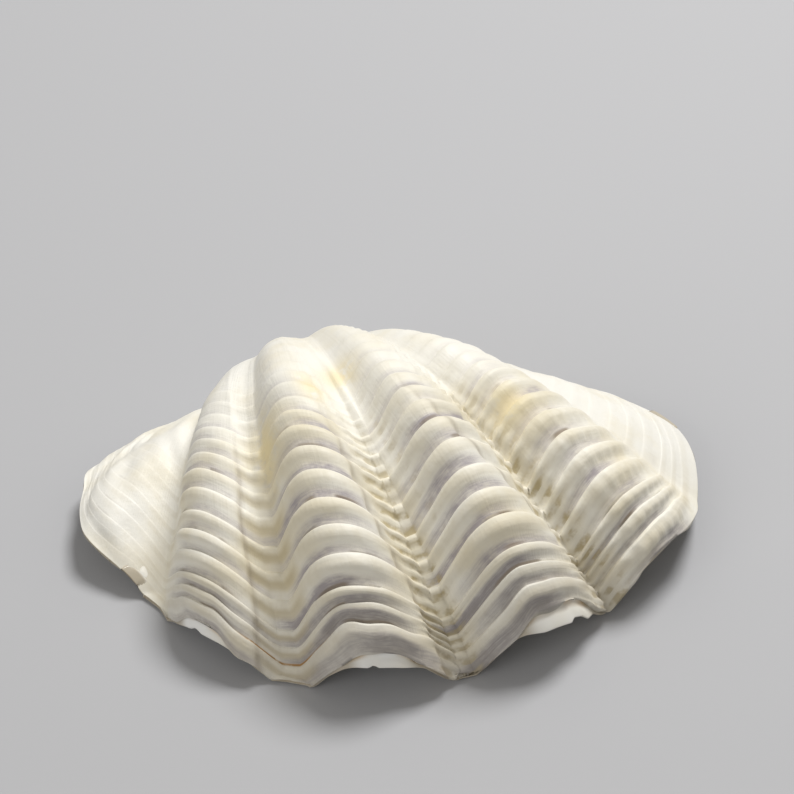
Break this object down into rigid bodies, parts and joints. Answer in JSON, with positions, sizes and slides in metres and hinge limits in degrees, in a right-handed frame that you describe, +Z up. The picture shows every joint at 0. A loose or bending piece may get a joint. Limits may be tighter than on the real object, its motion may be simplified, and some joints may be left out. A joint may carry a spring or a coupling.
{
  "type": "giant clam shell",
  "caption": "Fluted half of a giant clam shell, lying hollow side down, with deep radial ribs, scaly growth bands and a wavy free edge.",
  "frame": {"origin": "middle of the bounding box, on the table plane under the valve", "axes": "+Z up out of the table, +X along the shell's length, -Y towards the wavy free edge, +Y towards the hinge"},
  "size_m": [0.109, 0.075, 0.0338],
  "materials": {
    "shell": "chalky ivory white shell with grey-violet and tan growth bands, porcelain smooth inside and at the lip"
  },
  "bodies": {
    "root": {"valve": "shell"}
  },
  "joints": []
}
